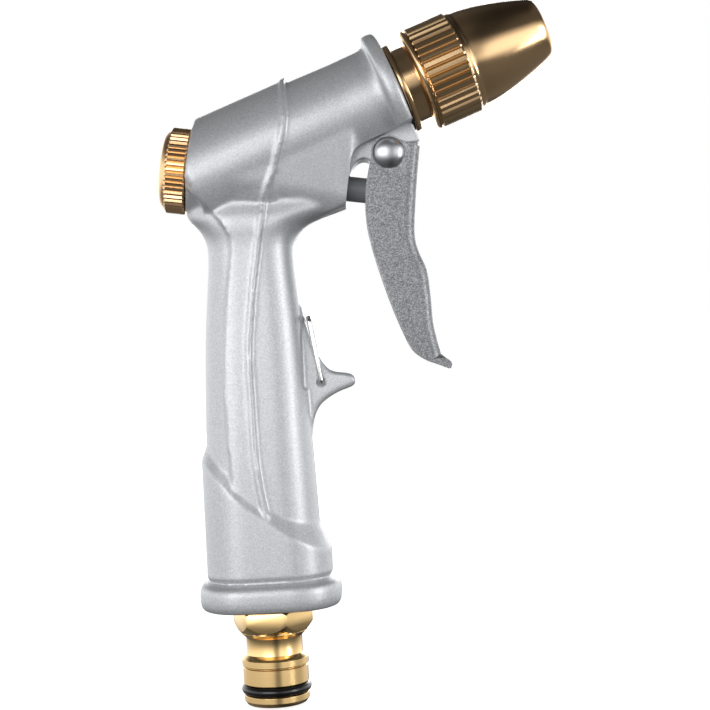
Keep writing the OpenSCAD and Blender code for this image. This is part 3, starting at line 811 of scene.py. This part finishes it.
# %% Rubber, plastic and paper
def moulded(name, colour, roughness, grain_mm, bump, specular=0.5):
    """A smooth moulded solid with a fine grain in its gloss and surface."""
    material, tree, surface = finish(name, Metallic=0.0)
    surface.inputs["Base Color"].default_value = srgb(colour)
    surface.inputs["Specular IOR Level"].default_value = specular
    here = add_node(tree, "ShaderNodeTexCoord").outputs["Object"]
    grain = add_node(tree, "ShaderNodeTexNoise", Vector=here, Scale=per_metre(grain_mm), Detail=6.0)
    rough = add_node(tree, "ShaderNodeMapRange", Value=grain.outputs["Fac"])
    rough.inputs["To Min"].default_value = roughness * 0.8
    rough.inputs["To Max"].default_value = roughness * 1.2
    tree.links.new(rough.outputs["Result"], surface.inputs["Roughness"])
    relief = add_node(tree, "ShaderNodeBump", Height=grain.outputs["Fac"], Strength=bump, Distance=0.02 * MM)
    tree.links.new(relief.outputs["Normal"], surface.inputs["Normal"])
    return material


black_rubber = moulded("greased_black_rubber", "#0d0d0e", 0.25, 0.6, 0.15)
grey_acetal = moulded("grey_moulded_acetal", "#8a8c90", 0.45, 0.4, 0.3)
floor_paper = moulded("matt_paper_floor", "#fafafa", 0.8, 3.0, 0.05, 0.1)
paper = next(node for node in floor_paper.node_tree.nodes if node.type == "BSDF_PRINCIPLED")
paper.inputs["Emission Color"].default_value = srgb("#ffffff")
PAPER_GLOW = 0.75
paper.inputs["Emission Strength"].default_value = PAPER_GLOW

# %% Put every finish on its pieces
BY_SLOT = {"body_paint": body_paint, "trigger_paint": trigger_paint, "polished_brass": nozzle_brass,
           "inlet_brass": plug_brass, "inner_brass": plug_brass, "steel": wire_steel,
           "rod_plastic": grey_acetal, "rubber": black_rubber}
slot_of = {part["node"]: part["material_slot"] for part in frame["record"]["subparts"]}
for node, shown in frame["nodes"].items():
    shown.data.materials.clear()
    shown.data.materials.append(BY_SLOT[slot_of[node]])
for piece, material in ((casting, body_paint), (trigger, trigger_paint), (sleeve, nozzle_brass),
                        (stem, nozzle_brass), (knob, knob_brass), (plug, plug_brass), (inlet_ring, black_rubber),
                        (rivet, rivet_steel), (bail, wire_steel), (push, grey_acetal)):
    piece.data.materials.clear()
    piece.data.materials.append(material)
print("materials", len(bpy.data.materials))

# %% [markdown]
# ## Who moves with what
# Each new piece rides on a body of the frame and stands for the CAD nodes that it hides.

# %% Ride and replace
for piece, body, node, slot in (
        (casting, "body", "body_casting", "body_paint"),
        (plug, "body", "inlet_connector", "inlet_brass"),
        (inlet_ring, "body", "inlet_o_ring", "rubber"),
        (stem, "body", "barrel_stem", "inner_brass"),
        (rivet, "body", "trigger_rivet", "steel"),
        (sleeve, "nozzle", "nozzle_sleeve", "polished_brass"),
        (knob, "knob", "rear_knob", "polished_brass"),
        (push, "valve", "pushrod", "rod_plastic"),
        (trigger, "trigger", "trigger", "trigger_paint"),
        (bail, "latch", "latch_bail", "steel")):
    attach(piece, body)
    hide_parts(node)
    print(piece.name, "rides on", body)

# %% [markdown]
# ## Stage, light and camera
# A pale floor and a white surround. Polished metal only looks like metal when it has something
# dark to reflect, so the world that lights the object isn't even: it is a bright band at the
# object's height, dark below it and dark above it, with one dim gap right of the middle. The
# paint is rough and takes only the average, which darkens its upper and lower edges. The
# camera itself sees plain white.

# %% Floor
FLOOR_SIZE, FLOOR_DROP = 160, 0.0006
fresh()
bpy.ops.mesh.primitive_plane_add(size=FLOOR_SIZE, location=(0, 0, -FLOOR_DROP))
floor = bpy.context.object
floor.name = "floor"
floor.data.materials.append(floor_paper)
floor.visible_diffuse = False
floor.visible_glossy = False


# %% Lights
def soft_box(name, place_at, aim, size, power):
    """A rectangular area light that faces a point; lengths in metres, power in watts."""
    light = bpy.data.lights.new(name, "AREA")
    light.shape = "RECTANGLE"
    light.size, light.size_y = size
    light.energy = power
    lamp = bpy.data.objects.new(name, light)
    lamp.location = place_at
    lamp.rotation_euler = (Vector(aim) - Vector(place_at)).to_track_quat("-Z", "Y").to_euler()
    lamp.visible_camera = False
    bpy.context.scene.collection.objects.link(lamp)
    return lamp


CENTRE = (0.02, 0, 0.09)
soft_box("box_front", (-0.45, -1.1, 0.3), CENTRE, (0.9, 0.6), 4.5)
soft_box("box_back", (0.15, 1.1, 0.3), CENTRE, (0.8, 0.5), 5.5)
soft_box("box_right", (1.0, -0.5, 0.15), CENTRE, (0.35, 0.6), 3.5)

# %% World
world = bpy.data.worlds.new("studio")
bpy.context.scene.world = world
world.use_nodes = True
sky = world.node_tree
sky.nodes.clear()
way = add_node(sky, "ShaderNodeSeparateXYZ",
               Vector=add_node(sky, "ShaderNodeTexCoord").outputs["Generated"])
height = add_node(sky, "ShaderNodeMapRange", Value=way.outputs["Z"], From__Min=-1.0)
side = add_node(sky, "ShaderNodeMapRange", Value=way.outputs["X"], From__Min=-1.0)
DOWN_TO_UP = [(0.0, 0.06), (0.2, 0.1), (0.35, 0.1), (0.43, 0.75), (0.46, 1.0), (0.62, 1.0),
              (0.7, 0.45), (0.77, 0.05), (0.94, 0.06), (1.0, 0.04)]
LEFT_TO_RIGHT = [(0.0, 0.9), (0.25, 1.0), (0.44, 0.9), (0.55, 0.3), (0.63, 0.3), (0.72, 1.0),
                 (0.92, 1.0), (1.0, 0.6)]
by_height = add_node(sky, "ShaderNodeValToRGB", stops=DOWN_TO_UP, Fac=height.outputs["Result"])
by_side = add_node(sky, "ShaderNodeValToRGB", stops=LEFT_TO_RIGHT, Fac=side.outputs["Result"])
both = add_node(sky, "ShaderNodeMix", {"data_type": "RGBA", "blend_type": "MULTIPLY"},
                _0=1.0, _6=by_height.outputs["Color"], _7=by_side.outputs["Color"])
WORLD_LIGHT = 1.8
lit = add_node(sky, "ShaderNodeBackground", Color=both.outputs[2], Strength=WORLD_LIGHT)
seen = add_node(sky, "ShaderNodeBackground", Color=(1, 1, 1, 1), Strength=1.0)
shown = add_node(sky, "ShaderNodeMixShader",
                 Fac=add_node(sky, "ShaderNodeLightPath").outputs["Is Camera Ray"],
                 _1=lit.outputs[0], _2=seen.outputs[0])
add_node(sky, "ShaderNodeOutputWorld", Surface=shown.outputs[0])

# %% Camera
camera_data = bpy.data.cameras.new("camera")
camera = bpy.data.objects.new("camera", camera_data)
bpy.context.scene.collection.objects.link(camera)
camera.location = (0.0249, -0.399, 0.0894)
camera.rotation_euler = (radians(90), radians(3), 0)
camera_data.sensor_width = 36
camera_data.lens = 82.5
camera_data.shift_x, camera_data.shift_y = -0.007, -0.0324
camera_data.clip_start = 0.01
bpy.context.scene.camera = camera
bpy.context.scene.view_settings.view_transform = "Standard"
